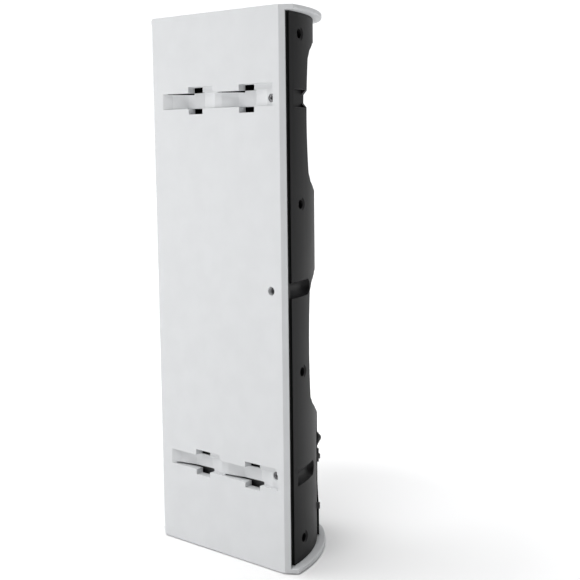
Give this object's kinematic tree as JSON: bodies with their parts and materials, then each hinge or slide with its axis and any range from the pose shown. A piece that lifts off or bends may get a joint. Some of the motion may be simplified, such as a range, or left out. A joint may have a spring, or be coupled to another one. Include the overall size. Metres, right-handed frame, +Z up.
{
  "type": "game console with controller",
  "caption": "Tall console with a flat white back, end plates, a black bowed body with two hand scoops, and a controller docked in its lower front.",
  "frame": {"origin": "middle of the footprint, on the surface the feet stand on", "axes": "+Z up, -Y towards the front with the docked controller, +Y out of the flat white back, +X completes the right-handed frame"},
  "size_m": [0.142, 0.0926, 0.39],
  "materials": {
    "battery_wrap": "plastic sleeve",
    "button_satin": "satin black plastic",
    "chip_metal": "nickel-plated lid",
    "circuit_board": "green solder mask",
    "contact_gold": "gold-plated contacts",
    "fan_plastic": "dark grey plastic",
    "foot_rubber": "dark grey rubber",
    "frame_black": "matt black plastic",
    "grille_black": "matt black plastic",
    "light_guide": "milky clear light guide",
    "magnet_nickel": "nickel-plated",
    "membrane_rubber": "grey silicone",
    "nub_rubber": "textured black rubber",
    "screw_steel": "dark zinc-plated steel",
    "shell_black": "satin black plastic",
    "sink_aluminium": "plain aluminium",
    "socket_metal": "plain steel",
    "speaker_cone": "basket, magnet and paper cone",
    "supply_case": "dark grey plastic case",
    "white_shell": "fine-grained white plastic"
  },
  "bodies": {
    "housing": {"back_tray": "white_shell", "feet": "foot_rubber", "rear_frame": "frame_black", "front_shell": "shell_black", "speaker_grille": "grille_black", "intake_grille": "grille_black", "side_screws": "screw_steel", "back_screws": "screw_steel", "main_board": "circuit_board", "board_screws": "screw_steel", "processor": "chip_metal", "heatsink": "sink_aluminium", "fan_frame": "frame_black", "fan_screws": "screw_steel", "storage_card": "circuit_board", "power_supply": "supply_case", "speaker": "speaker_cone", "video_socket": "socket_metal", "usb_socket": "socket_metal", "power_socket": "frame_black", "power_ring": "light_guide", "button_board": "circuit_board", "power_switch_base": "frame_black", "dock_contacts": "contact_gold", "dock_magnets": "magnet_nickel"},
    "pad": {"pad_front": "shell_black", "pad_back": "shell_black", "pad_screws": "screw_steel", "pad_magnets": "magnet_nickel", "pad_contacts": "contact_gold", "pad_battery": "battery_wrap", "pad_board": "circuit_board", "control_board": "circuit_board", "nub_housing": "frame_black", "button_membrane": "membrane_rubber", "trigger_pin": "screw_steel"},
    "fan": {"fan_rotor": "fan_plastic"},
    "power_button": {"power_button": "button_satin"},
    "power_switch_knob": {"power_switch_knob": "button_satin"},
    "nub_carriage": {"nub_carriage": "frame_black"},
    "nub_cap": {"nub_cap": "nub_rubber"},
    "dpad_pivot": {"dpad_pivot": "screw_steel"},
    "dpad": {"dpad": "button_satin"},
    "action_button_up": {"action_button_up": "button_satin"},
    "action_button_down": {"action_button_down": "button_satin"},
    "action_button_inner": {"action_button_inner": "button_satin"},
    "action_button_outer": {"action_button_outer": "button_satin"},
    "home_button": {"home_button": "button_satin"},
    "menu_button": {"menu_button": "button_satin"},
    "pause_button": {"pause_button": "button_satin"},
    "trigger_left": {"trigger_left": "button_satin"},
    "trigger_right": {"trigger_right": "button_satin"}
  },
  "joints": [
    {"name": "fan_spin", "type": "hinge", "parent": "housing", "child": "fan", "pos_m": [0, -0.00626, 0.236], "axis": [0, -1, 0], "continuous": true},
    {"name": "power_button_press", "type": "slide", "parent": "housing", "child": "power_button", "axis": [0, 1, 0], "range_m": [0, 0.0015], "stiffness_N_per_m": 600, "springref_m": -0.0006},
    {"name": "power_switch_slide", "type": "slide", "parent": "housing", "child": "power_switch_knob", "axis": [0, 0, -1], "range_m": [0, 0.0044]},
    {"name": "pad_undock", "type": "slide", "parent": "housing", "child": "pad", "axis": [0, -1, 0], "range_m": [0, 0.036]},
    {"name": "nub_across", "type": "slide", "parent": "pad", "child": "nub_carriage", "axis": [-0.8572, 0.515, 0], "range_m": [-0.0011, 0.0011], "stiffness_N_per_m": 300},
    {"name": "nub_up", "type": "slide", "parent": "nub_carriage", "child": "nub_cap", "axis": [0, 0, 1], "range_m": [-0.0011, 0.0011], "stiffness_N_per_m": 300},
    {"name": "dpad_tilt_side", "type": "hinge", "parent": "pad", "child": "dpad_pivot", "pos_m": [-0.01487, -0.02981, 0.0606], "axis": [0, 0, 1], "range_deg": [-4, 4], "stiffness_Nm_per_rad": 0.06},
    {"name": "dpad_tilt_up", "type": "hinge", "parent": "dpad_pivot", "child": "dpad", "pos_m": [-0.01487, -0.02981, 0.0606], "axis": [-0.8572, 0.515, 0], "range_deg": [-4, 4], "stiffness_Nm_per_rad": 0.06},
    {"name": "action_button_up_press", "type": "slide", "parent": "pad", "child": "action_button_up", "axis": [-0.515, 0.8572, 0], "range_m": [0, 0.0012], "stiffness_N_per_m": 500, "springref_m": -0.0005},
    {"name": "action_button_down_press", "type": "slide", "parent": "pad", "child": "action_button_down", "axis": [-0.515, 0.8572, 0], "range_m": [0, 0.0012], "stiffness_N_per_m": 500, "springref_m": -0.0005},
    {"name": "action_button_inner_press", "type": "slide", "parent": "pad", "child": "action_button_inner", "axis": [-0.3009, 0.9537, 0], "range_m": [0, 0.0012], "stiffness_N_per_m": 500, "springref_m": -0.0005},
    {"name": "action_button_outer_press", "type": "slide", "parent": "pad", "child": "action_button_outer", "axis": [-0.7008, 0.7134, 0], "range_m": [0, 0.0012], "stiffness_N_per_m": 500, "springref_m": -0.0005},
    {"name": "home_button_press", "type": "slide", "parent": "pad", "child": "home_button", "axis": [0, 1, 0], "range_m": [0, 0.0008], "stiffness_N_per_m": 500, "springref_m": -0.0005},
    {"name": "menu_button_press", "type": "slide", "parent": "pad", "child": "menu_button", "axis": [0.1908, 0.9816, 0], "range_m": [0, 0.0008], "stiffness_N_per_m": 500, "springref_m": -0.0005},
    {"name": "pause_button_press", "type": "slide", "parent": "pad", "child": "pause_button", "axis": [-0.1908, 0.9816, 0], "range_m": [0, 0.0008], "stiffness_N_per_m": 500, "springref_m": -0.0005},
    {"name": "trigger_left_pull", "type": "hinge", "parent": "pad", "child": "trigger_left", "pos_m": [-0.014, -0.00316, 0.0843], "axis": [-1, 0, 0], "range_deg": [0, 10], "stiffness_Nm_per_rad": 0.15, "springref_deg": -5.16},
    {"name": "trigger_right_pull", "type": "hinge", "parent": "pad", "child": "trigger_right", "pos_m": [0.014, -0.00316, 0.0843], "axis": [-1, 0, 0], "range_deg": [0, 10], "stiffness_Nm_per_rad": 0.15, "springref_deg": -5.16}
  ]
}
